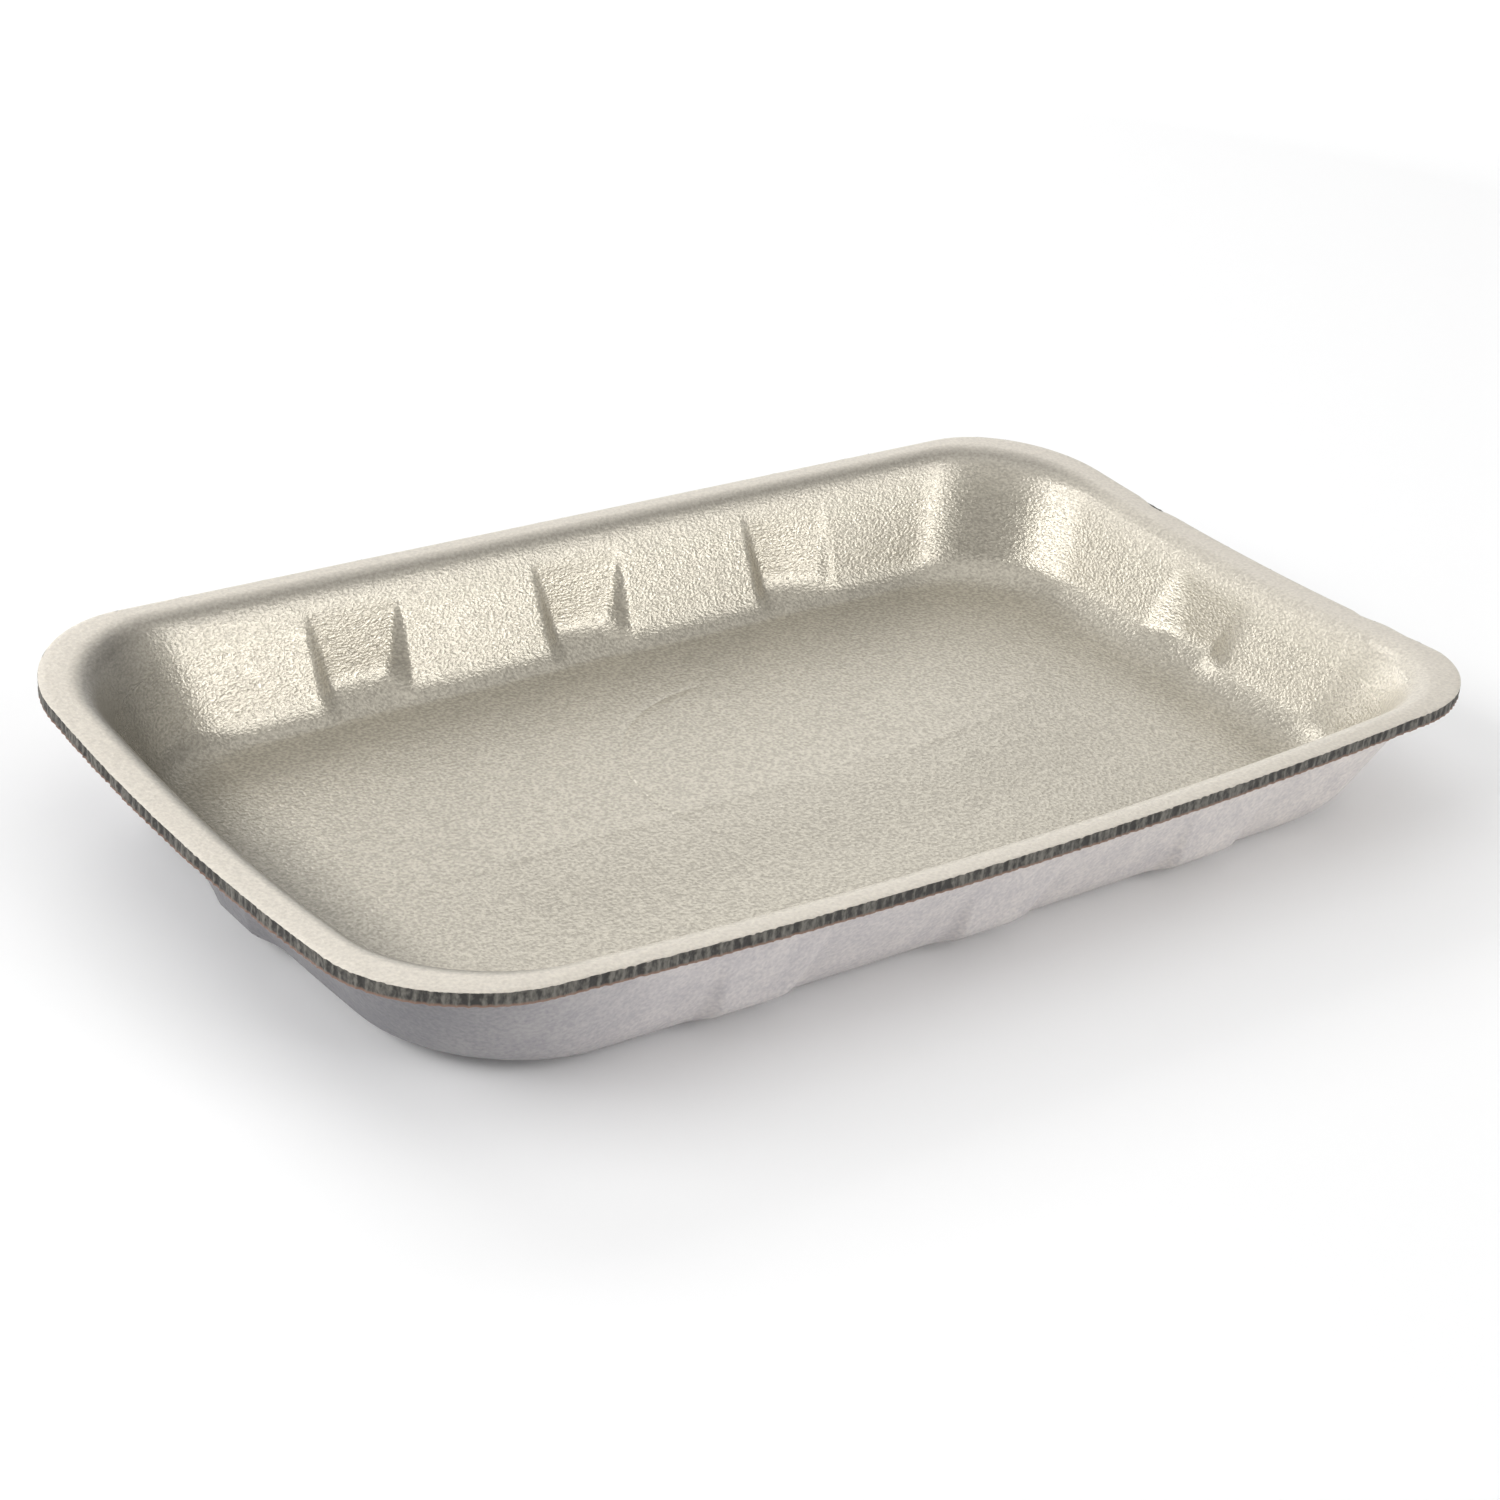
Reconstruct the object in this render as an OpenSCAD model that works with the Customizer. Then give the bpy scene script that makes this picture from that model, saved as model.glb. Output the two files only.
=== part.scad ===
// Rectangular foam tray for fresh food, formed in one piece from a sheet of foam.
// Millimetres. The underside stands on z = 0, the length runs along X and the width
// along Y, and the middle of the floor is at the origin.

/* [Tray] */
// Overall length, at the middle of the bowed short sides
tray_length = 225; // [180:1:300]
// Overall width, at the middle of the bowed long sides
tray_width = 135; // [115:1:200]
// Height from the underside to the plane of the rim, which the corners nearly reach
tray_height = 25.6; // [20:0.2:45]
// Radius of the rim's corners in plan
corner_radius = 22; // [12:0.5:28]
// Radius of the floor's corners in plan
floor_radius = 21; // [10:0.5:21]

/* [Foam sheet] */
// Thickness of the floor and the walls
foam = 3; // [2:0.1:4]
// Thickness of the rim at its cut edge, where the mould has pressed it
edge_foam = 2.4; // [1.5:0.1:4]

/* [Rim and walls] */
// Cut edge to the corner between rim and wall, on the long sides
rim_long = 5; // [3.5:0.5:10]
// Cut edge to the corner between rim and wall, on the short sides
rim_short = 6.5; // [4.5:0.5:12]
// How far the rounded bend reaches into the rim and down the wall
bend = 3; // [1:0.25:4]
// Cut edge to the foot of the wall in plan, on the long sides
foot_long = 13; // [11:0.2:16]
// Cut edge to the foot of the wall in plan, on the short sides
foot_short = 16; // [13:0.25:20]
// How far the rounding at the foot reaches over the floor, on the long sides
floor_run_long = 3; // [1:0.25:8]
// How far the rounding at the foot reaches over the floor, on the short sides
floor_run_short = 9; // [2:0.25:12]
// How far the rounding at the foot reaches up the wall
foot_height = 5; // [4.5:0.25:8]

/* [Bow and dip] */
// Outward bow of the long sides at the rim
bow_long = 3.5; // [0:0.25:5]
// Outward bow of the short sides at the rim
bow_short = 1.6; // [0:0.2:4]
// Dip of the rim at the middle of the long sides
dip_long = 1.9; // [0:0.1:3]
// Dip of the rim at the middle of the short sides
dip_short = 4.1; // [0:0.1:5]

/* [Pockets] */
// Number of pockets pushed out of each long wall; each short wall has one
pockets = 3; // [1:1:3]
// End of the tray to the middle of the outermost pocket
pocket_end = 65.5; // [62:0.5:70]
// Width of a pocket where it starts, high on the wall
pocket_top_width = 19; // [14:0.5:21]
// Width of a pocket at its foot, where it is deepest
pocket_foot_width = 15.5; // [10:0.5:17]
// Depth of a pocket at its foot
pocket_depth = 1.8; // [0.5:0.1:3]
// Depth below the plane of the rim where the pockets start
pocket_start = 4.6; // [4:0.1:8]
// Height above the floor of the crease at a pocket's foot
pocket_crease = 4.3; // [3:0.1:4.5]
// Width of the sloping sides of a pocket
pocket_side = 3; // [1:0.25:5]

/* [Floor ring] */
// Radius of the fine ring pressed into the floor
ring_radius = 32; // [15:0.5:33]
// How far the ring's middle lies along the length from the floor's middle
ring_x = 9.5; // [-15:0.5:15]
// How far the ring's middle lies across the width from the floor's middle
ring_y = 1.4; // [-1.5:0.1:1.5]
// Width of the ring's groove
ring_width = 1; // [0.6:0.1:3]
// Depth of the ring's groove
ring_depth = 0.15; // [0.1:0.05:0.8]

/* [Fineness] */
// Facets round each corner
corner_steps = 10; // [4:1:12]

/* [Hidden] */

// The rim's outline before the sides bow out
half_length = tray_length / 2 - bow_short;
half_width = tray_width / 2 - bow_long;

// Height of the wall above the floor's own skin, the same inside and outside
wall_height = tray_height - foam;

// The pockets share the length between the two outermost ones
pocket_pitch = pockets > 1 ? (tray_length - 2 * pocket_end) / (pockets - 1) : 0;

// Heights above the floor where the pockets start and where the ledge under them ends
pocket_top = wall_height - pocket_start;
pocket_ledge = 0.4 * pocket_crease;

// The floor's outline keeps this share of the rim's bow
floor_bow_long = 0.3;
floor_bow_short = 0.7;

// The rim's underside bends into the wall more tightly than its top does
bend_under = 0.4 * bend;

// The outer skin's rounding at the foot reaches a little higher than the inner one
foot_height_out = foot_height + 0.6 * foam;

function mix(a, b, t) = a + (b - a) * t;
function clamp01(t) = max(0, min(1, t));
function ease(t) = let (c = clamp01(t)) c * c * (3 - 2 * c);
function reversed(list) = [for (i = [len(list) - 1 : -1 : 0]) list[i]];

// Value at t along a curve that leaves a for b and arrives at c
function curved(a, b, c, t) = (1 - t) * (1 - t) * a + 2 * t * (1 - t) * b + t * t * c;

// How far in from the cut edge the wall's inner skin is at height z
function wall_in(rim, foot, z) = mix(foot, rim, (z - foam) / wall_height);

// The same for the outer skin, one thickness of foam further out
function wall_out(rim, foot, z) =
    wall_in(rim, foot, z) - foam * sqrt(1 + pow((foot - rim) / wall_height, 2));

// Inner and outer skin in the rounding at the foot, at height h above the skin's own base
function foot_in(rim, foot, run, h) =
    curved(wall_in(rim, foot, foam + foot_height), foot, foot + run,
        1 - sqrt(h / foot_height));
function foot_out(rim, foot, run, h) =
    curved(wall_out(rim, foot, foot_height_out), wall_out(rim, foot, 0), foot + run,
        1 - sqrt(h / foot_height_out));

// Top skin and underside in the bend between rim and wall; t runs from the rim down
function bend_in(rim, foot, t) =
    curved(rim - bend, rim, wall_in(rim, foot, tray_height - bend), t);
function bend_out(rim, foot, t) =
    let (corner = wall_out(rim, foot, wall_height))
    curved(corner - bend_under, corner, wall_out(rim, foot, wall_height - bend_under), t);

// Heights above a skin's base for its loops: in the rounding at the foot, and up the wall
foot_levels = [0, 0.1 * pocket_ledge, 0.45 * pocket_ledge, pocket_ledge,
    mix(pocket_ledge, pocket_crease, 0.5), pocket_crease];
wall_levels = [for (t = [0.25, 0.5, 0.75, 1]) mix(foot_height_out, pocket_top, t)];
bend_steps = [1, 0.75, 0.5, 0.25, 0];

// A level is [inset on the short sides, inset on the long sides, z, height above its base].
// The outer skin goes from the underside up to the cut edge.
outer_levels = concat(
    [for (h = concat(foot_levels, [foot_height_out]))
        [foot_out(rim_short, foot_short, floor_run_short, h),
            foot_out(rim_long, foot_long, floor_run_long, h), h, h]],
    [for (h = wall_levels)
        [wall_out(rim_short, foot_short, h), wall_out(rim_long, foot_long, h), h, h]],
    [for (t = bend_steps)
        [bend_out(rim_short, foot_short, t), bend_out(rim_long, foot_long, t),
            wall_height - bend_under * t * t, wall_height - bend_under * t * t]],
    [[0, 0, tray_height - edge_foam, wall_height]]);

// The inner skin goes from the cut edge down to the floor
inner_levels = concat(
    [[0, 0, tray_height, wall_height]],
    [for (t = reversed(bend_steps))
        [bend_in(rim_short, foot_short, t), bend_in(rim_long, foot_long, t),
            tray_height - bend * t * t, wall_height - bend * t * t]],
    [for (h = reversed(concat([foot_height], wall_levels)))
        [wall_in(rim_short, foot_short, foam + h), wall_in(rim_long, foot_long, foam + h),
            foam + h, h]],
    [for (h = reversed(foot_levels))
        [foot_in(rim_short, foot_short, floor_run_short, h),
            foot_in(rim_long, foot_long, floor_run_long, h), foam + h, h]]);

// How far up a pocket height h is: 0 at its foot, 1 where it starts
function pocket_rise(h) = clamp01((h - pocket_crease) / (pocket_top - pocket_crease));
function pocket_width(h) = mix(pocket_foot_width, pocket_top_width, pocket_rise(h));
function pocket_place(k, count) = (k - (count - 1) / 2) * pocket_pitch;

// How far a pocket pushes the wall out, at s along the wall from its middle and height h
function pocket_push(s, h) =
    let (across = ease((pocket_width(h) + pocket_side - 2 * abs(s)) / (2 * pocket_side)))
    let (down = h < pocket_crease
        ? ease((h - pocket_ledge) / (pocket_crease - pocket_ledge)) : 1 - pocket_rise(h))
    pocket_depth * across * down;

// Places along a wall for its columns of points: close together over the pockets' sides
side_steps = [0, 1 / 3, 2 / 3, 1];
function pocket_columns(h) =
    let (side = [for (t = side_steps) (pocket_width(h) + pocket_side) / 2 - t * pocket_side])
    concat([for (c = side) -c], [0], reversed(side));
function wall_columns(count, half, h) =
    let (c = [for (k = [0 : count - 1]) for (s = pocket_columns(h)) s + pocket_place(k, count)])
    let (last = c[len(c) - 1])
    concat([-(half + last) / 2], c, [(half + last) / 2]);

// A point of the skin: the plain outline with the bow, the pockets and the dip added
function skin_point(x, y, push_x, push_y, level) =
    let (hx = half_length - level[0], hy = half_width - level[1])
    let (u = x / hx, v = y / hy, rise = clamp01(level[3] / wall_height))
    let (bx = bow_short * mix(floor_bow_short, 1, rise) * (1 - v * v) * u)
    let (by = bow_long * mix(floor_bow_long, 1, rise) * (1 - u * u) * v)
    [x + bx + sign(x) * push_x, y + by + sign(y) * push_y,
        level[2] - rise * (dip_long * (1 - u * u) + dip_short * (1 - v * v))];

// One quarter turn of a corner, whose middle is at cx, cy
function corner_points(cx, cy, start, r, level) =
    [for (i = [0 : corner_steps]) let (a = start + 90 * i / corner_steps)
        skin_point(cx + r * cos(a), cy + r * sin(a), 0, 0, level)];

// A closed loop of points round the tray at one level, anticlockwise from above
function skin_loop(level) =
    let (hx = half_length - level[0], hy = half_width - level[1], h = level[3])
    let (r = mix(corner_radius, floor_radius, clamp01(level[1] / foot_long)))
    let (cx = hx - r, cy = hy - r)
    let (long = wall_columns(pockets, cx, h), short = wall_columns(1, cy, h))
    let (push_long = [for (x = long)
        max([for (k = [0 : pockets - 1]) pocket_push(x - pocket_place(k, pockets), h)])])
    let (push_short = [for (y = short) pocket_push(y, h)])
    let (nl = len(long) - 1, ns = len(short) - 1)
    concat(
        corner_points(cx, cy, 0, r, level),
        [for (i = [nl : -1 : 0]) skin_point(long[i], hy, 0, push_long[i], level)],
        corner_points(-cx, cy, 90, r, level),
        [for (i = [ns : -1 : 0]) skin_point(-hx, short[i], push_short[i], 0, level)],
        corner_points(-cx, -cy, 180, r, level),
        [for (i = [0 : nl]) skin_point(long[i], -hy, 0, push_long[i], level)],
        corner_points(cx, -cy, 270, r, level),
        [for (i = [0 : ns]) skin_point(hx, short[i], push_short[i], 0, level)]);

// Points on a circle, evenly spaced and as many as a loop of the skin has. The middle of
// the back wall keeps its place, straight behind the middle of the ring.
back_middle = corner_steps + 1 + (len(wall_columns(pockets, 0, 0)) - 1) / 2;
function ring_loop(n, r, z) = [for (i = [0 : n - 1])
    let (a = 90 + (i - back_middle) * 360 / n) [ring_x + r * cos(a), ring_y + r * sin(a), z]];

// The tray is one closed skin: the middle of the underside, the loops one after another,
// and the middle of the floor
module tray() {
    skins = [for (level = concat(outer_levels, inner_levels)) skin_loop(level)];
    n = len(skins[0]);
    loops = concat(skins, [
        ring_loop(n, ring_radius + ring_width / 2, foam),
        ring_loop(n, ring_radius, foam - ring_depth),
        ring_loop(n, ring_radius - ring_width / 2, foam)]);
    last = len(loops) - 1;
    points = concat([[0, 0, 0]], [for (l = loops) each l], [[ring_x, ring_y, foam]]);
    top = len(points) - 1;
    faces = concat(
        [for (i = [0 : n - 1]) [0, 1 + i, 1 + (i + 1) % n]],
        [for (j = [0 : last - 1]) for (i = [0 : n - 1])
            let (a = 1 + j * n + i, b = 1 + j * n + (i + 1) % n)
            each [[a, a + n, b], [b, a + n, b + n]]],
        [for (i = [0 : n - 1]) [top, 1 + last * n + (i + 1) % n, 1 + last * n + i]]);
    color("gainsboro")
        polyhedron(points = points, faces = faces);
}

tray();
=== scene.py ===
import math
import random

import bmesh
import bpy
from mathutils import Matrix, Vector, noise


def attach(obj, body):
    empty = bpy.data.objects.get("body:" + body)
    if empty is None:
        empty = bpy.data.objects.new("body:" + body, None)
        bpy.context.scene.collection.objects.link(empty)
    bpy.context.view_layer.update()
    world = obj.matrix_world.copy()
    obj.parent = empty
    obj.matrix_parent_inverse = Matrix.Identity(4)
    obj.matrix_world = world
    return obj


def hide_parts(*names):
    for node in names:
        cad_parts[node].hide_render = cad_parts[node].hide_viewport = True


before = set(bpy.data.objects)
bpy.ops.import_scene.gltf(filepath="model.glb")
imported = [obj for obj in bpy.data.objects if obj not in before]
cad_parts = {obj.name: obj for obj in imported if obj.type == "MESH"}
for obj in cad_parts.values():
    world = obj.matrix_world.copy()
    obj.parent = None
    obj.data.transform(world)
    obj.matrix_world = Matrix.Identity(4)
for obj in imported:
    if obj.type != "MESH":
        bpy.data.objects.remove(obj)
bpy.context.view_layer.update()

# The formed sheet
# The real tray is one sheet of foamed polystyrene, heated and drawn down into a mould, so its
# rim, walls and floor are one skin. Its top skin is drawn here from the rim's outline, level by
# level down to the floor. Lengths are in millimetres until the sheet is finished, and places
# less than a hair apart count as the same.
half_length = 110.9
half_width = 64.0
tray_height = 25.6
corner_radius = 22.0
floor_radius = 21.0
foam = 3.0
rim_long = 5.0
rim_short = 6.5
bend = 3.0
foot_long = 13.0
foot_short = 16.0
floor_run_long = 3.0
floor_run_short = 9.0
foot_height = 5.0
wall_height = tray_height - foam
corner_steps = 16
rim_shares = (0.0, 0.35, 0.7)
bend_shares = (0.0, 0.17, 0.34, 0.5, 0.67, 0.84, 1.0)
wall_rows = 9
foot_rows = 9
hair = 0.01
MM = 0.001


def mix(a, b, t):
    return a + (b - a) * t


def ease(t):
    """A share that leaves 0 and reaches 1 gently, and stays between them."""
    t = max(0.0, min(1.0, t))
    return t * t * (3 - 2 * t)


def curved(a, b, c, t):
    """Value at t along a curve that leaves a for b and arrives at c."""
    return (1 - t) ** 2 * a + 2 * t * (1 - t) * b + t * t * c


def wall_in(rim, foot, z):
    """Inset of a straight wall at a height, from its insets at the rim and at the foot."""
    return mix(foot, rim, (z - foam) / wall_height)


# A level is (inset on the short sides, inset on the long sides, height). The skin runs flat
# from the cut edge to the bend, down the wall, and out over the floor.
levels = [(share * (rim_short - bend), share * (rim_long - bend), tray_height)
          for share in rim_shares]
wall_top = tray_height - bend
wall_foot = foam + foot_height
for t in bend_shares:
    levels.append((
        curved(rim_short - bend, rim_short, wall_in(rim_short, foot_short, wall_top), t),
        curved(rim_long - bend, rim_long, wall_in(rim_long, foot_long, wall_top), t),
        tray_height - bend * t * t))
for k in range(1, wall_rows + 1):
    z = mix(wall_top, wall_foot, k / wall_rows)
    levels.append((wall_in(rim_short, foot_short, z), wall_in(rim_long, foot_long, z), z))
for k in range(1, foot_rows + 1):
    t = k / foot_rows
    levels.append((
        curved(wall_in(rim_short, foot_short, wall_foot), foot_short,
               foot_short + floor_run_short, t),
        curved(wall_in(rim_long, foot_long, wall_foot), foot_long,
               foot_long + floor_run_long, t),
        foam + foot_height * (1 - t) ** 2))

bpy.ops.object.select_all(action="DESELECT")
bpy.ops.mesh.primitive_plane_add(size=2, location=(0, 0, levels[0][2]))
tray = bpy.context.object
tray.name = "foam_tray"
bpy.ops.transform.resize(value=(half_length, half_width, 1))
bpy.ops.object.transform_apply(location=True, rotation=True, scale=True)
bpy.ops.object.mode_set(mode="EDIT")
bpy.ops.mesh.select_all(action="SELECT")
bpy.ops.mesh.bevel(offset=corner_radius, affect="VERTICES", segments=corner_steps)
bpy.ops.mesh.delete(type="ONLY_FACE")
bpy.ops.mesh.select_all(action="SELECT")


def edit_mesh():
    return bmesh.from_edit_mesh(tray.data)


def choose(kind, test):
    """Selects the points, edges or faces of the open mesh that pass the test, and no others."""
    bpy.ops.mesh.select_mode(type={"verts": "VERT", "edges": "EDGE", "faces": "FACE"}[kind])
    bpy.ops.mesh.select_all(action="DESELECT")
    mesh = edit_mesh()
    for part in getattr(mesh, kind):
        if test(part):
            part.select_set(True)
    mesh.select_flush_mode()
    bmesh.update_edit_mesh(tray.data)


def remember_level(short_inset, long_inset):
    """Notes the level's own half length and half width on the points just drawn."""
    mesh = edit_mesh()
    reach_x = mesh.verts.layers.float.get("reach_x") or mesh.verts.layers.float.new("reach_x")
    reach_y = mesh.verts.layers.float.get("reach_y") or mesh.verts.layers.float.new("reach_y")
    for v in mesh.verts:
        if v.select:
            v[reach_x] = half_length - short_inset
            v[reach_y] = half_width - long_inset
    bmesh.update_edit_mesh(tray.data)


def outline_radius(long_inset):
    """Corner radius of the level with this inset on the long sides."""
    return mix(corner_radius, floor_radius, max(0.0, min(1.0, long_inset / foot_long)))


remember_level(0, 0)
for (short_0, long_0, z_0), (short_1, long_1, z_1) in zip(levels, levels[1:]):
    bpy.ops.mesh.extrude_edges_move(TRANSFORM_OT_translate={"value": (0, 0, z_1 - z_0)})
    r_0, r_1 = outline_radius(long_0), outline_radius(long_1)
    drawn = edit_mesh()
    for v in drawn.verts:
        if v.select:
            sx, sy = math.copysign(1, v.co.x), math.copysign(1, v.co.y)
            from_x = v.co.x - sx * (half_length - short_0 - r_0)
            from_y = v.co.y - sy * (half_width - long_0 - r_0)
            v.co.x = sx * (half_length - short_1 - r_1) + from_x * r_1 / r_0
            v.co.y = sy * (half_width - long_1 - r_1) + from_y * r_1 / r_0
    bmesh.update_edit_mesh(tray.data)
    remember_level(short_1, long_1)

# Columns across the straight sides, close together where a pocket's flanks will be
pocket_pitch = 47.0
pocket_places = (-pocket_pitch, 0.0, pocket_pitch)
flank_from = 5.4
flank_to = 11.4
fine_step = 0.6
plain_step = 2.2
least_step = 0.3
long_end = 62.0
short_end = 24.0
long_end_cuts = 9
short_end_cuts = 7


def column_places(centres, end):
    """Places from -end to end, with steps of fine_step over the flanks round each centre."""
    places, at = [], -end
    while at < end - least_step:
        places.append(at)
        near = any(flank_from - fine_step < abs(at - c) < flank_to for c in centres)
        at += fine_step if near else plain_step
    return places + [end]


for axis, places in (((1, 0, 0), column_places(pocket_places, long_end)),
                     ((0, 1, 0), column_places((0.0,), short_end))):
    for place in places:
        bpy.ops.mesh.select_all(action="SELECT")
        bpy.ops.mesh.bisect(plane_co=[place * a for a in axis], plane_no=axis)


def spans(edge, axis, end):
    """Whether an edge runs along the axis from the last column to the start of a corner."""
    a, b = sorted(abs(v.co[axis]) for v in edge.verts)
    level = abs(edge.verts[0].co.z - edge.verts[1].co.z) < hair
    return level and abs(a - end) < hair < b - end


choose("edges", lambda e: spans(e, 0, long_end))
bpy.ops.mesh.subdivide(number_cuts=long_end_cuts)
choose("edges", lambda e: spans(e, 1, short_end))
bpy.ops.mesh.subdivide(number_cuts=short_end_cuts)

# The floor: loops for the fine round mark pressed in it are bridged to the walls' foot, and
# closed towards the mark's middle.
mark_middle = Vector((9.5, 1.35, 0.0))
mark_radius = 32.0
mark_width = 0.9
mark_shares = (0.25, 0.0, -0.25, -0.5)
inner_shares = (0.93, 0.86, 0.79, 0.71, 0.62, 0.52, 0.41, 0.29, 0.16)
floor_rows = 18
choose("edges", lambda e: e.is_boundary and max(v.co.z for v in e.verts) < foam + hair)
foot_points = sum(v.select for v in edit_mesh().verts)
bpy.ops.mesh.primitive_circle_add(vertices=foot_points, radius=mark_radius + mark_width / 2,
                                  location=mark_middle + Vector((0, 0, foam)))
remember_level(foot_short + floor_run_short, foot_long + floor_run_long)
choose("edges", lambda e: not e.link_faces or (
    e.is_boundary and max(v.co.z for v in e.verts) < foam + hair))
bpy.ops.mesh.bridge_edge_loops(number_cuts=floor_rows, interpolation="LINEAR")
choose("edges", lambda e: e.is_boundary and max(v.co.z for v in e.verts) < foam + hair)
radius = mark_radius + mark_width / 2
for smaller in [mark_radius + share * mark_width for share in mark_shares] + [
        mark_radius * share for share in inner_shares]:
    bpy.ops.mesh.extrude_edges_move(TRANSFORM_OT_translate={"value": (0, 0, 0)})
    bpy.ops.transform.resize(value=(smaller / radius, smaller / radius, 1),
                             center_override=mark_middle)
    radius = smaller
bpy.ops.mesh.extrude_edges_move(TRANSFORM_OT_translate={"value": (0, 0, 0)})
bpy.ops.mesh.merge(type="CENTER")
bpy.ops.mesh.select_all(action="SELECT")
bpy.ops.mesh.normals_make_consistent(inside=False)
bpy.ops.object.mode_set(mode="OBJECT")
if sum(p.normal.z for p in tray.data.polygons) < 0:
    tray.data.flip_normals()

# The sheet's thickness
# The foam is about 3 mm thick all over, and the mould has pressed it to 2.4 mm at the cut edge.
# The second skin, the underside, is the same sheet seen from below.
TOP, UNDER, EDGE = range(3)
for finish_name in ("pearly_foam_skin", "lilac_foam_underside", "torn_foam_edge"):
    tray.data.materials.append(bpy.data.materials.new(finish_name))
edge_foam = 2.4
insets = [half_width - reach.value for reach in tray.data.attributes["reach_y"].data]
thickness = tray.vertex_groups.new(name="thickness")
for v, inset in zip(tray.data.vertices, insets):
    thickness.add([v.index], mix(edge_foam / foam, 1.0, ease(inset / (rim_long - bend))),
                  "REPLACE")
top_points = len(tray.data.vertices)
sheet = tray.modifiers.new("sheet", "SOLIDIFY")
sheet.thickness = foam
sheet.offset = -1
sheet.use_even_offset = True
sheet.vertex_group = thickness.name
sheet.material_offset = UNDER
sheet.material_offset_rim = EDGE
bpy.ops.object.modifier_apply(modifier=sheet.name)
tray.vertex_groups.clear()

# The form that the mould and cooling gave the sheet: the sides bow outwards, the rim dips
# between its corners, and shallow wedge-shaped pockets are pushed out of the walls.
bow_long = 3.5
bow_short = 1.6
bow_from = 0.6
floor_bow_long = 0.3
floor_bow_short = 0.7
dip_long = 1.9
dip_short = 4.1
pocket_top_width = 19.0
pocket_foot_width = 15.5
long_side_widths = (3.4, 0.9)
end_side_widths = (6.0, 3.0)
side_curve = 1.5
pocket_depth = 2.0
pocket_start = 4.6
pocket_crease = 4.3
pocket_low = -1.5
pocket_high = 5.8
pocket_top = wall_height - pocket_start
far_shares = {-pocket_pitch: (1.1, 1.1), 0.0: (1.3, 0.85), pocket_pitch: (1.2, 0.4)}


def pocket_push(along, height, flank_shares=(1.0, 1.0), side_widths=long_side_widths):
    """How far a pocket pushes the wall out, along the wall from its middle, at a height. Its
    flanks narrow towards the top, and are creased where they meet its flat middle. The shares
    say how deep its left and its right flank are, and the widths how wide a flank is at its foot
    and at its top."""
    rise = max(0.0, min(1.0, (height - pocket_crease) / (pocket_top - pocket_crease)))
    half = mix(pocket_foot_width, pocket_top_width, rise) / 2
    side = mix(*side_widths, rise)
    across = max(0.0, min(1.0, (half + side / 2 - abs(along)) / side)) ** side_curve
    share = mix(*flank_shares, ease((along / half + 1) / 2))
    return pocket_depth * share * across * (1 - rise) * ease(
        (height - pocket_low) / (pocket_high - pocket_low))


crest_at = -3.5
crest_curve = 0.0035
crest_left = -50.0
crest_right = 20.0
crest_height = 0.2
crest_back = 6.0
slope_length = 24.0
slope_drop = 1.1
wave_height = 3.0
wave_end = 0.6
mark_depth = 0.1
mark_side = math.radians(143)
mark_faint = 0.1
faint_from = 0.5
deep_from = 0.8


def crest_place(x):
    """Where the floor's low crest lies, before the tray's middle: it bends at both ends."""
    return crest_at + crest_curve * (
        max(0.0, x - crest_right) ** 2 - max(0.0, crest_left - x) ** 2)


def floor_wave(x, y):
    """The floor isn't quite flat: it falls from one long low crest towards the front, and a fine
    round mark is pressed in it, which fades out to the right."""
    behind = y - crest_place(x)
    if behind > 0:
        wave = crest_height * math.exp(-behind / crest_back)
    else:
        down = min(1.0, -behind / slope_length)
        wave = crest_height * math.exp(behind) - slope_drop * ease(down)
    from_mark = Vector((x, y, 0)) - mark_middle
    across = max(0.0, 1 - 2 * abs(from_mark.length - mark_radius) / mark_width)
    turned = math.cos(math.atan2(from_mark.y, from_mark.x) - mark_side)
    return wave - mark_depth * across * mix(
        mark_faint, 1, ease((turned - faint_from) / (deep_from - faint_from)))


points = tray.data.vertices
reach_x = [reach.value for reach in tray.data.attributes["reach_x"].data]
reach_y = [reach.value for reach in tray.data.attributes["reach_y"].data]
formed = []
for v in points:
    x, y, z = v.co
    twin = points[v.index % top_points].co
    on_top = v.index < top_points
    height = z - foam if on_top else z
    rise = max(0.0, min(1.0, height / wall_height))
    u = max(-1.0, min(1.0, x / reach_x[v.index]))
    w = max(-1.0, min(1.0, y / reach_y[v.index]))
    from_middle = ease((max(abs(u), abs(w)) - bow_from) / (1 - bow_from))
    bow_x = bow_short * mix(floor_bow_short, 1, rise) * (1 - w * w) * u * from_middle
    bow_y = bow_long * mix(floor_bow_long, 1, rise) * (1 - u * u) * w * from_middle
    push_x = push_y = 0.0
    if abs(abs(twin.y) - reach_y[v.index]) < hair:
        push_y = max(pocket_push(x - place, height, far_shares[place] if y > 0 else (1.0, 1.0))
                     for place in pocket_places)
    elif abs(abs(twin.x) - reach_x[v.index]) < hair:
        push_x = pocket_push(y, height, side_widths=end_side_widths)
    z -= rise * (dip_long * (1 - u * u) + dip_short * (1 - w * w))
    if on_top:
        near_end = ease((abs(u) - wave_end) / (1 - wave_end))
        z += floor_wave(x, y) * (1 - ease(height / wave_height)) * (1 - near_end)
    else:
        z = max(0.0, z)
    formed.append(Vector((x + bow_x + math.copysign(push_x, x),
                          y + bow_y + math.copysign(push_y, y), z)))
for v, place in zip(points, formed):
    v.co = place

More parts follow.
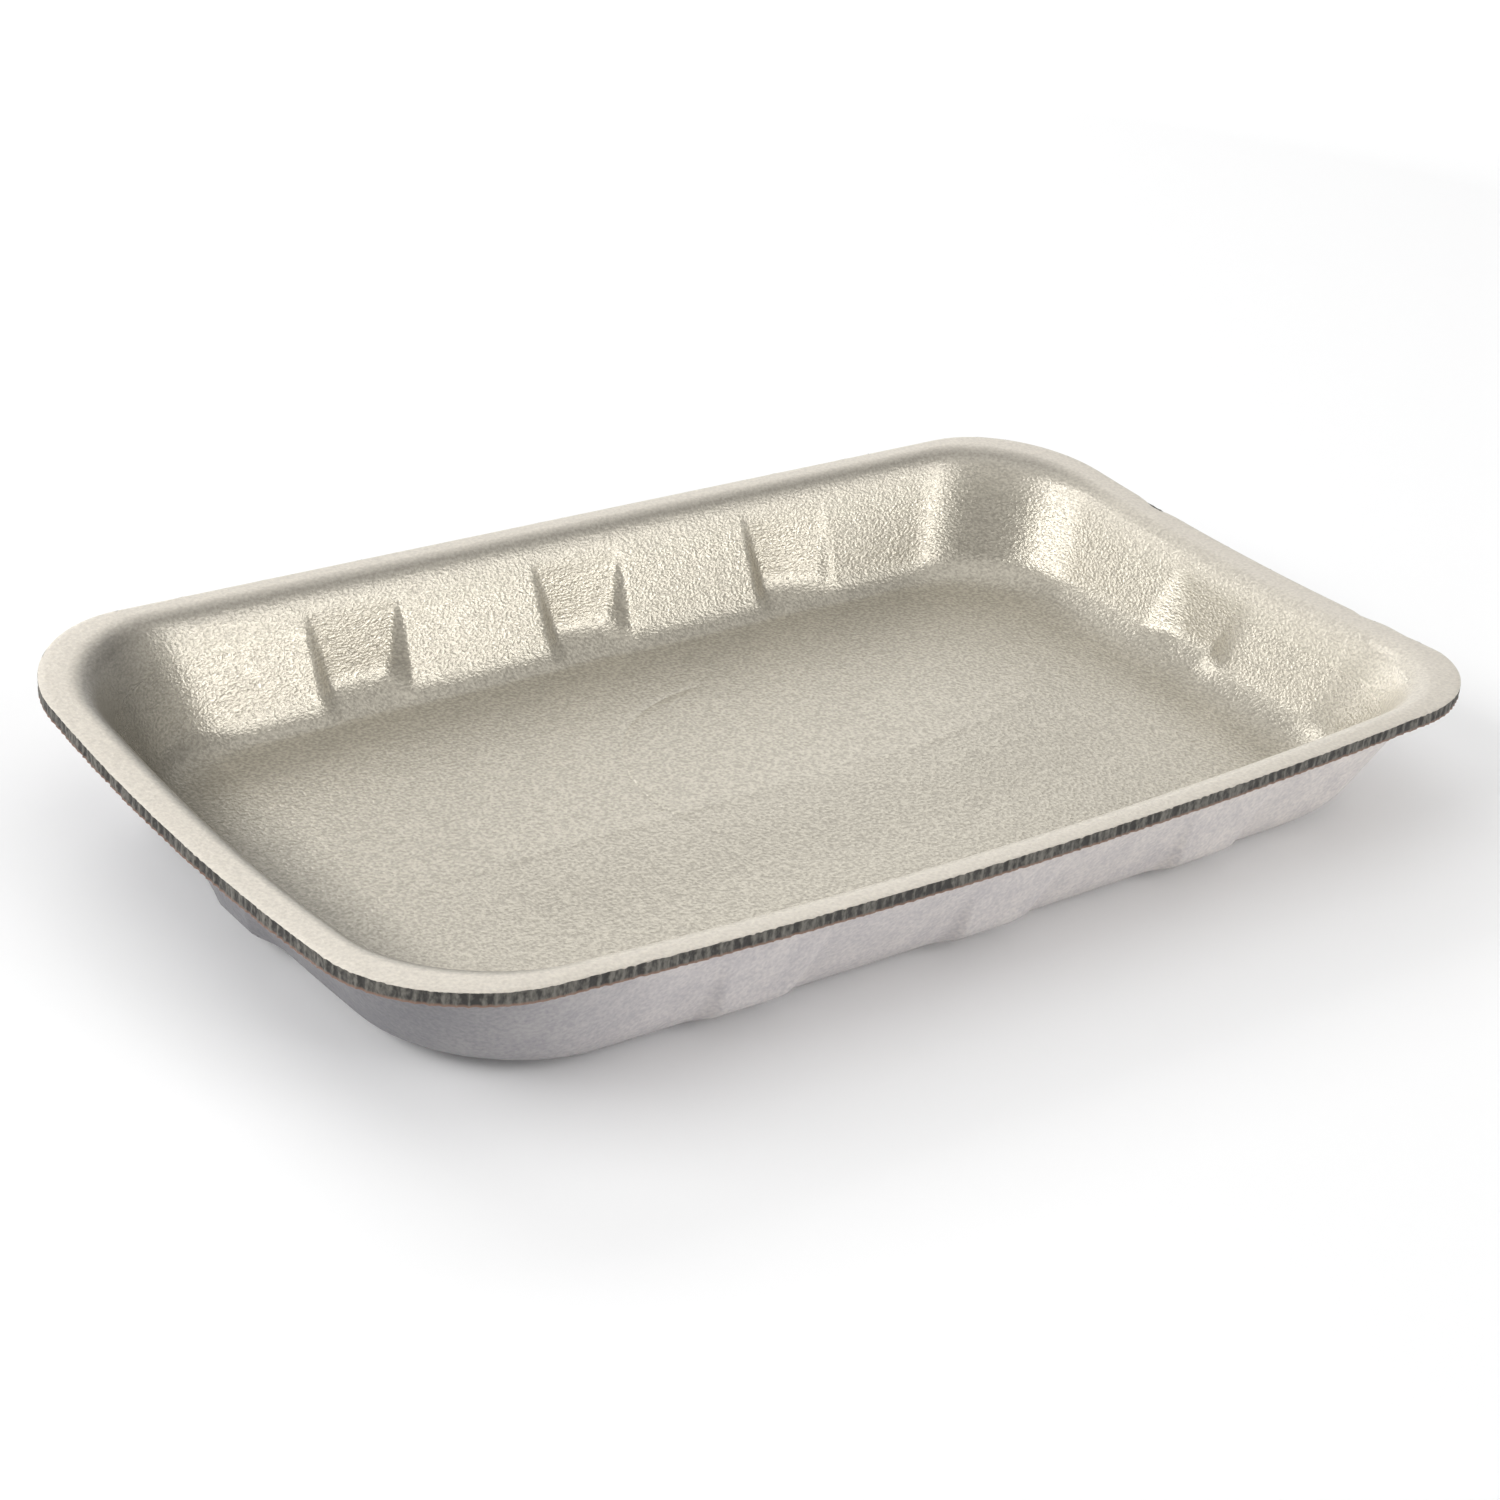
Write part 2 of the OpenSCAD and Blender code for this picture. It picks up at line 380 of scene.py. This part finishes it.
# The cut edge
# The rim was cut by a steel rule with teeth about 1.8 mm apart, which tore the foam between
# them, so the edge is a band of shallow upright flutes with a rough face.
tooth_pitch = 1.8
tooth_widths = (0.8, 1.2)
tooth_depth = 0.22
tooth_depths = (0.5, 1.3)
tooth_curve = 0.7
edge_column = 0.3
edge_rows = 5
upright_rise = 1.0
roll = 0.12
shuffle = random.Random(7)
bpy.ops.object.mode_set(mode="EDIT")


def kinds(edge):
    """Which skins meet at an edge."""
    return {f.material_index for f in edge.link_faces}


choose("edges", lambda e: kinds(e) == {TOP, EDGE})
bpy.ops.mesh.bevel(offset=roll, segments=2, affect="EDGES", material=TOP)


def edge_cuts(edge):
    """How many cuts split an edge into columns as wide as the fine ones of the cut edge."""
    return max(1, round(edge.calc_length() / edge_column) - 1)


border = [e for e in edit_mesh().edges if len(kinds(e)) == 2 and EDGE in kinds(e)]
for cuts in sorted({edge_cuts(e) for e in border}):
    choose("edges", lambda e: len(kinds(e)) == 2 and EDGE in kinds(e) and edge_cuts(e) == cuts
           and e.calc_length() > 2 * edge_column)
    bpy.ops.mesh.subdivide(number_cuts=cuts)
choose("edges", lambda e: kinds(e) == {EDGE} and abs(
    e.verts[0].co.z - e.verts[1].co.z) > upright_rise)
bpy.ops.mesh.subdivide(number_cuts=edge_rows)

# The teeth's places follow the edge's length all round, each tooth a little wider or narrower.
mesh = edit_mesh()
flute_share = mesh.verts.layers.float.new("flute")
edge_height = mesh.verts.layers.float.new("edge_height")
start = max((v for v in mesh.verts if any(kinds(e) == {UNDER, EDGE} for e in v.link_edges)),
            key=lambda v: v.co.y - abs(v.co.x))
lower, before = [start], None
while len(lower) < 2 or lower[-1] is not start:
    ahead = [e.other_vert(lower[-1]) for e in lower[-1].link_edges
             if kinds(e) == {UNDER, EDGE} and e is not before]
    before = next(e for e in lower[-1].link_edges if e.other_vert(lower[-1]) is ahead[0])
    lower.append(ahead[0])
lower.pop()
runs = [0.0]
for a, b in zip(lower, lower[1:] + lower[:1]):
    runs.append(runs[-1] + (b.co - a.co).length)
girth = runs.pop()
teeth = [0.0]
while teeth[-1] < girth:
    teeth.append(teeth[-1] + tooth_pitch * shuffle.uniform(*tooth_widths))
teeth = [place * girth / teeth[-1] for place in teeth]
depths = [tooth_depth * shuffle.uniform(*tooth_depths) for _ in teeth]


def flute(run):
    """Depth of the tooth marks at a place along the edge: none between two teeth."""
    tooth = next(k for k in range(len(teeth) - 1) if run <= teeth[k + 1])
    across = (run - teeth[tooth]) / (teeth[tooth + 1] - teeth[tooth])
    return depths[tooth] * math.sin(math.pi * max(0.0, min(1.0, across))) ** tooth_curve


def column(co):
    """The upright column of the cut edge that a point is in, as its rounded place in plan."""
    return round(co.x, 2), round(co.y, 2)


outward, cut_depth = {}, {}
for k, v in enumerate(lower):
    along = lower[(k + 1) % len(lower)].co - lower[k - 1].co
    side = Vector((along.y, -along.x, 0)).normalized()
    if side.dot(v.co) < 0:
        side.negate()
    outward[column(v.co)] = side
    cut_depth[column(v.co)] = flute(runs[k])

# How rough the torn face and the skin's border are, and where the right rim is chipped
torn = 0.12
torn_across = 0.5
torn_up = 0.8
top_share = 0.6
ragged = 0.22
ragged_grain = 0.8
ragged_slice = 7.0
chips = ((25.6, 4.0, 0.8), (-29.0, 3.0, 0.5), (-42.0, 7.0, 0.5))
chip_flatness = 1.4
chip_lift = 0.35
chip_sink = 0.1
border_width = 0.3
top_row = 0.8
smooth_angle = 40
rim_reach = mesh.verts.layers.float.get("reach_x")


def chip(y):
    """How far the top skin is chipped back along the right rim, at its three chipped places. It
    sinks a little there, and the torn foam stands up behind it."""
    return max(depth * ease(chip_flatness * (1 - abs(y - place) / reach))
               for place, reach, depth in chips)


low_z = {column(v.co): v.co.z for v in lower}
for v in mesh.verts:
    if not any(f.material_index == EDGE for f in v.link_faces):
        continue
    key = column(v.co)
    grain = noise.noise(Vector((v.co.x / torn_across, v.co.y / torn_across, v.co.z / torn_up)))
    at_top = any(f.material_index == TOP for f in v.link_faces)
    up_share = max(0.0, min(1.0, (v.co.z - low_z[key]) / (edge_foam - roll)))
    v[flute_share] = cut_depth[key] / tooth_depth
    v[edge_height] = up_share
    out = (torn * grain - cut_depth[key]) * (top_share if at_top else 1.0)
    v.co += outward[key] * out
    if at_top:
        v.co.z += ragged * noise.noise(
            Vector((v.co.x / ragged_grain, v.co.y / ragged_grain, ragged_slice)))
for v in mesh.verts:
    if v[rim_reach] > half_length - border_width and v.co.x > 0:
        if any(f.material_index == TOP for f in v.link_faces):
            v.co -= Vector((chip(v.co.y), 0, chip_sink * chip(v.co.y)))
        elif v[edge_height] > top_row:
            v.co.z += chip_lift * chip(v.co.y)
bmesh.update_edit_mesh(tray.data)
bpy.ops.mesh.select_all(action="SELECT")
bpy.ops.transform.resize(value=(MM, MM, MM), center_override=(0, 0, 0))
bpy.ops.object.mode_set(mode="OBJECT")
bpy.ops.object.shade_smooth_by_angle(angle=math.radians(smooth_angle))

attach(tray, "root")
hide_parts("tray")


# Finish of the top skin
# Foamed polystyrene whose surface cells were flattened by the mould: a silver-grey, pearly skin,
# drawn out sideways along the walls and duller on the rim. The left end's wall and the far rim's
# bend are darkened by painted shade. Its grain is too fine for the render, and is drawn about
# 0.6 mm wide.
# What changes from wall to rim follows the half width of the level, in millimetres.
def linear(hex_colour):
    """An sRGB hex colour as linear red, green, blue and alpha."""
    parts = [int(hex_colour[k:k + 2], 16) / 255 for k in (1, 3, 5)]
    return [p / 12.92 if p <= 0.04045 else ((p + 0.055) / 1.055) ** 2.4 for p in parts] + [1]


def add_node(material, kind, settings=None, stops=(), **links):
    """Adds a node to a material. A setting is an attribute or an input's value; stops are a
    colour ramp's places and hex colours; a link is the name of an input, with underscores for
    spaces, and the output socket that feeds it."""
    node = material.node_tree.nodes.new(kind)
    for name, value in (settings or {}).items():
        if name in node.inputs:
            node.inputs[name].default_value = value
        else:
            setattr(node, name, value)
    for k, (place, colour) in enumerate(stops):
        ramp = node.color_ramp.elements
        stop = ramp[k] if k < len(ramp) else ramp.new(place)
        stop.position, stop.color = place, linear(colour)
    for name, socket in links.items():
        material.node_tree.links.new(socket, node.inputs[name.replace("_", " ")])
    return node


def bare(name):
    """The named material, with its nodes cleared."""
    material = bpy.data.materials[name]
    material.use_nodes = True
    material.node_tree.nodes.clear()
    return material


grain_mm = 0.62
over_rim = {"From Min": 56.0, "From Max": 61.5}
pearl = bare("pearly_foam_skin")
where = add_node(pearl, "ShaderNodeTexCoord").outputs["Object"]
drawn_out = add_node(pearl, "ShaderNodeMapping", {"Scale": (1, 1, 1.7)}, Vector=where)
grain = add_node(pearl, "ShaderNodeTexNoise",
                 {"Scale": 1 / (grain_mm * MM), "Detail": 1.5, "Roughness": 0.5},
                 Vector=drawn_out.outputs["Vector"])
level = add_node(pearl, "ShaderNodeAttribute", {"attribute_name": "reach_y"})
drawn_share = add_node(pearl, "ShaderNodeMapRange",
                       {"From Min": 58.0, "From Max": 62.0, "To Min": 1.0, "To Max": 0.65},
                       Value=level.outputs["Fac"])
skin = add_node(pearl, "ShaderNodeMixRGB", {"Color1": (0.5, 0.5, 0.5, 1)},
                Fac=drawn_share.outputs["Result"], Color2=grain.outputs["Fac"])
peel = add_node(pearl, "ShaderNodeTexNoise", {"Scale": 1 / (2.2 * MM), "Detail": 1.0},
                Vector=drawn_out.outputs["Vector"])
grain_tone = add_node(pearl, "ShaderNodeValToRGB", stops=((0.35, "#aba598"), (0.65, "#cac4b5")),
                      Fac=skin.outputs["Color"])
rim_share = add_node(pearl, "ShaderNodeMapRange",
                     {**over_rim, "To Min": 0.0, "To Max": 0.3},
                     Value=level.outputs["Fac"])
rim_tone = add_node(pearl, "ShaderNodeMixRGB", {"Color2": linear("#f2e9e0")},
                    Fac=rim_share.outputs["Result"], Color1=grain_tone.outputs["Color"])
along = add_node(pearl, "ShaderNodeSeparateXYZ", Vector=where)
# Painted shade: the left end's wall is darkened along X, standing in for the little light that
# falls on it.
left_end = add_node(pearl, "ShaderNodeMapRange",
                    {"From Min": -79 * MM, "From Max": -94 * MM, "To Min": 0.0, "To Max": 0.6},
                    Value=along.outputs["X"])
on_wall = add_node(pearl, "ShaderNodeMapRange", {"From Min": 61.3, "From Max": 59.6},
                   Value=level.outputs["Fac"])
left_wall_painted_shade = add_node(pearl, "ShaderNodeMath", {"operation": "MULTIPLY"})
pearl.node_tree.links.new(left_end.outputs["Result"], left_wall_painted_shade.inputs[0])
pearl.node_tree.links.new(on_wall.outputs["Result"], left_wall_painted_shade.inputs[1])
# Painted shade: a dark line along the far rim's bend, standing in for the dim front that it
# faces.
far_side = add_node(pearl, "ShaderNodeMapRange",
                    {"From Min": 30 * MM, "From Max": 50 * MM, "To Min": 0.0, "To Max": 0.38},
                    Value=along.outputs["Y"])
near_bend = add_node(pearl, "ShaderNodeMapRange", {"From Min": 57.0, "From Max": 63.0},
                     Value=level.outputs["Fac"])
at_bend = add_node(pearl, "ShaderNodeValToRGB",
                   stops=((0.12, "#000000"), (0.4, "#ffffff"), (0.78, "#000000")),
                   Fac=near_bend.outputs["Result"])
far_bend_painted_shade = add_node(pearl, "ShaderNodeMath", {"operation": "MULTIPLY"})
pearl.node_tree.links.new(far_side.outputs["Result"], far_bend_painted_shade.inputs[0])
pearl.node_tree.links.new(at_bend.outputs["Color"], far_bend_painted_shade.inputs[1])
# The two painted shades are combined, and they mix the skin's tone towards black.
shade = add_node(pearl, "ShaderNodeMath", {"operation": "MAXIMUM"})
pearl.node_tree.links.new(left_wall_painted_shade.outputs["Value"], shade.inputs[0])
pearl.node_tree.links.new(far_bend_painted_shade.outputs["Value"], shade.inputs[1])
tone = add_node(pearl, "ShaderNodeMixRGB", {"Color2": linear("#000000")},
                Fac=shade.outputs["Value"], Color1=rim_tone.outputs["Color"])
grain_bump = add_node(pearl, "ShaderNodeBump", {"Strength": 1.0, "Distance": 0.125 * MM},
                      Height=skin.outputs["Color"])
peel_bump = add_node(pearl, "ShaderNodeBump", {"Strength": 0.5, "Distance": 0.1 * MM},
                     Height=peel.outputs["Fac"], Normal=grain_bump.outputs["Normal"])
sheen = add_node(pearl, "ShaderNodeMapRange",
                 {**over_rim, "To Min": 0.5, "To Max": 0.2},
                 Value=level.outputs["Fac"])
dulled = add_node(pearl, "ShaderNodeMapRange",
                  {**over_rim, "To Min": 0.27, "To Max": 0.42},
                  Value=level.outputs["Fac"])
foam_skin = add_node(pearl, "ShaderNodeBsdfPrincipled", Base_Color=tone.outputs["Color"],
                     Metallic=sheen.outputs["Result"], Roughness=dulled.outputs["Result"],
                     Normal=peel_bump.outputs["Normal"])
add_node(pearl, "ShaderNodeOutputMaterial", Surface=foam_skin.outputs["BSDF"])

# Finish of the underside
# The same foam's outer skin, pressed against the other half of the mould: smoother, duller and
# a pale lilac grey with faint cloudy patches. Painted shade makes it darker and more lilac
# towards the left end. Its fine grain is drawn 0.7 mm wide, so that it shows.
lilac = bare("lilac_foam_underside")
where = add_node(lilac, "ShaderNodeTexCoord").outputs["Object"]
cloud = add_node(lilac, "ShaderNodeTexNoise", {"Scale": 1 / (5 * MM), "Detail": 3.0},
                 Vector=where)
fine = add_node(lilac, "ShaderNodeTexNoise", {"Scale": 1 / (0.7 * MM), "Detail": 1.5},
                Vector=where)
along = add_node(lilac, "ShaderNodeSeparateXYZ", Vector=where)
from_left = add_node(lilac, "ShaderNodeMapRange",
                     {"From Min": -half_length * MM, "From Max": half_length * MM},
                     Value=along.outputs["X"])
# Painted shade: the ramp darkens the underside, and makes it more lilac, towards the left end.
end_painted_shade = add_node(lilac, "ShaderNodeValToRGB",
                    stops=((0.05, "#9a9ba0"), (0.21, "#e8e6e8"), (0.85, "#f6f3f1")),
                    Fac=from_left.outputs["Result"])
mottle = add_node(lilac, "ShaderNodeMixRGB", {"Fac": 0.62}, Color1=cloud.outputs["Fac"],
                  Color2=fine.outputs["Fac"])
cloud_tone = add_node(lilac, "ShaderNodeValToRGB", stops=((0.36, "#c1bebf"), (0.64, "#dcd8d4")),
                      Fac=mottle.outputs["Color"])
tone = add_node(lilac, "ShaderNodeMixRGB", {"blend_type": "MULTIPLY", "Fac": 1.0},
                Color1=cloud_tone.outputs["Color"], Color2=end_painted_shade.outputs["Color"])
fine_bump = add_node(lilac, "ShaderNodeBump", {"Strength": 0.7, "Distance": 0.14 * MM},
                     Height=fine.outputs["Fac"])
foam_underside = add_node(lilac, "ShaderNodeBsdfPrincipled", {"Roughness": 0.5},
                          Base_Color=tone.outputs["Color"],
                          Normal=fine_bump.outputs["Normal"])
add_node(lilac, "ShaderNodeOutputMaterial", Surface=foam_underside.outputs["BSDF"])

# Finish of the cut edge
# Torn foam, open-celled and dark grey: each tooth of the rule left a hollow between two ridges,
# and painted shade darkens the hollows by their depth, so the ridges stay paler. A thin brown
# line shows where the under skin was cut.
edge = bare("torn_foam_edge")
where = add_node(edge, "ShaderNodeTexCoord").outputs["Object"]
hollow_shade_mask = add_node(edge, "ShaderNodeAttribute", {"attribute_name": "flute"})
up_edge = add_node(edge, "ShaderNodeAttribute", {"attribute_name": "edge_height"})
upright = add_node(edge, "ShaderNodeMapping", {"Scale": (1, 1, 0.5)}, Vector=where)
tear = add_node(edge, "ShaderNodeTexNoise", {"Scale": 1 / (0.5 * MM), "Detail": 2.0},
                Vector=upright.outputs["Vector"])
cells = add_node(edge, "ShaderNodeTexVoronoi", {"Scale": 1 / (0.6 * MM)}, Vector=where)
# Painted shade: the flutes' depth darkens the edge in its hollows, mixed with the torn face's
# own noise.
tear_and_painted_shade = add_node(edge, "ShaderNodeMixRGB", {"Fac": 0.68}, Color1=hollow_shade_mask.outputs["Fac"],
                Color2=tear.outputs["Fac"])
tone = add_node(edge, "ShaderNodeValToRGB", stops=((0.36, "#6b6861"), (0.64, "#2f2d2a")),
                Fac=tear_and_painted_shade.outputs["Color"])
at_border = add_node(edge, "ShaderNodeMapRange",
                     {"From Min": 0.04, "From Max": 0.22, "To Min": 0.85, "To Max": 0.0},
                     Value=up_edge.outputs["Fac"])
bordered = add_node(edge, "ShaderNodeMixRGB", {"Color2": linear("#8a6c5c")},
                    Fac=at_border.outputs["Result"], Color1=tone.outputs["Color"])
cell_bump = add_node(edge, "ShaderNodeBump", {"Strength": 0.8, "Distance": 0.15 * MM},
                     Height=cells.outputs["Distance"])
torn_foam = add_node(edge, "ShaderNodeBsdfPrincipled", {"Roughness": 0.7},
                     Base_Color=bordered.outputs["Color"], Normal=cell_bump.outputs["Normal"])
add_node(edge, "ShaderNodeOutputMaterial", Surface=torn_foam.outputs["BSDF"])

# The floor and the studio
# A plain pale table before a pale round backdrop, with soft lights round it: before the tray,
# beyond its left end, behind and overhead. The backdrop and the far part of the table glow a
# little, so that they stay as pale as the table near the lights.
backdrop_radius = 5.8
backdrop_height = 1.0
glow = 0.7
bpy.ops.mesh.primitive_plane_add(size=2.2 * backdrop_radius, location=(0, 0, 0))
table = bpy.context.object
table.name = "table"
table.data.materials.append(bpy.data.materials.new("pale_table"))
pale = bare("pale_table")
where = add_node(pale, "ShaderNodeTexCoord").outputs["Object"]
far_off = add_node(pale, "ShaderNodeVectorMath", {"operation": "LENGTH"})
pale.node_tree.links.new(where, far_off.inputs[0])
far_light = add_node(pale, "ShaderNodeMapRange",
                     {"From Min": 0.45, "From Max": 0.95, "To Min": 0.0, "To Max": glow},
                     Value=far_off.outputs["Value"])
table_top = add_node(pale, "ShaderNodeBsdfPrincipled",
                     {"Base Color": linear("#f6f6f6"), "Roughness": 1.0,
                      "Specular IOR Level": 0.0, "Emission Color": linear("#ffffff")},
                     Emission_Strength=far_light.outputs["Result"])
add_node(pale, "ShaderNodeOutputMaterial", Surface=table_top.outputs["BSDF"])
bpy.ops.mesh.primitive_cylinder_add(vertices=96, radius=backdrop_radius, depth=backdrop_height,
                                    end_fill_type="NOTHING",
                                    location=(0, 0, backdrop_height / 2))
backdrop = bpy.context.object
backdrop.name = "backdrop"
backdrop.data.materials.append(bpy.data.materials.new("pale_backdrop"))
paper = bare("pale_backdrop")
paper_sheet = add_node(paper, "ShaderNodeBsdfPrincipled",
                       {"Base Color": linear("#f6f6f6"), "Roughness": 1.0,
                        "Specular IOR Level": 0.0, "Emission Color": linear("#ffffff"),
                        "Emission Strength": glow})
add_node(paper, "ShaderNodeOutputMaterial", Surface=paper_sheet.outputs["BSDF"])

world_light = 0.33
world = bpy.data.worlds.new("studio")
bpy.context.scene.world = world
world.use_nodes = True
world.node_tree.nodes["Background"].inputs["Color"].default_value = linear("#ffffff")
world.node_tree.nodes["Background"].inputs["Strength"].default_value = world_light
light_distance = 1.5


def add_softbox(name, azimuth, elevation, wide, high, radiance):
    """A rectangular soft light that looks at the tray. Its place and size are in degrees as the
    tray sees them, with azimuth turned from +X towards +Y."""
    light = bpy.data.lights.new(name, "AREA")
    light.shape = "RECTANGLE"
    light.size = 2 * light_distance * math.tan(math.radians(wide / 2))
    light.size_y = 2 * light_distance * math.tan(math.radians(high / 2))
    light.energy = radiance * math.pi * light.size * light.size_y
    lamp = bpy.data.objects.new(name, light)
    bpy.context.scene.collection.objects.link(lamp)
    a, e = math.radians(azimuth), math.radians(elevation)
    towards = Vector((math.cos(a) * math.cos(e), math.sin(a) * math.cos(e), math.sin(e)))
    lamp.location = towards * light_distance
    lamp.rotation_euler = towards.to_track_quat("Z", "Y").to_euler()
    lamp.visible_camera = False


add_softbox("right_softbox", 297, 14, 10, 28, 7.8)
add_softbox("right_high_softbox", 300, 36, 24, 17, 3.5)
add_softbox("left_softbox", 180, 36, 24, 17, 6.8)
add_softbox("back_left_low_softbox", 150, 20, 15, 15, 3.8)
add_softbox("back_left_softbox", 150, 36, 24, 17, 4.6)
add_softbox("back_low_softbox", 100, 7, 60, 14, 2.8)
add_softbox("back_softbox", 90, 36, 35, 17, 3.4)
add_softbox("back_right_softbox", 50, 20, 20, 15, 1.3)
add_softbox("back_right_high_softbox", 45, 36, 35, 17, 0.9)
add_softbox("overhead_softbox", 0, 88, 60, 60, 0.6)

# The camera
# It stands before the tray's left end and looks down on it, as the photograph was taken.
camera_turn = -39.938
camera_tilt = 27.548
camera_roll = 5.996
camera_distance = 486.54
aim = Vector((-24.62, -23.73, 25.6))
camera_lens = 74.470
a, e, r = (math.radians(x) for x in (camera_turn, camera_tilt, camera_roll))
back = Vector((math.sin(a) * math.cos(e), -math.cos(a) * math.cos(e), math.sin(e)))
right = Vector((math.cos(a), math.sin(a), 0))
up = back.cross(right)
level_right = right * math.cos(r) + up * math.sin(r)
level_up = up * math.cos(r) - right * math.sin(r)
camera = bpy.data.objects.new("camera", bpy.data.cameras.new("camera"))
bpy.context.scene.collection.objects.link(camera)
camera.matrix_world = Matrix.Translation((aim + back * camera_distance) * MM) @ Matrix(
    (level_right, level_up, back)).transposed().to_4x4()
camera.data.sensor_width = 36
camera.data.lens = camera_lens
camera.data.clip_start = 0.01
bpy.context.scene.camera = camera
bpy.context.scene.view_settings.view_transform = "Standard"
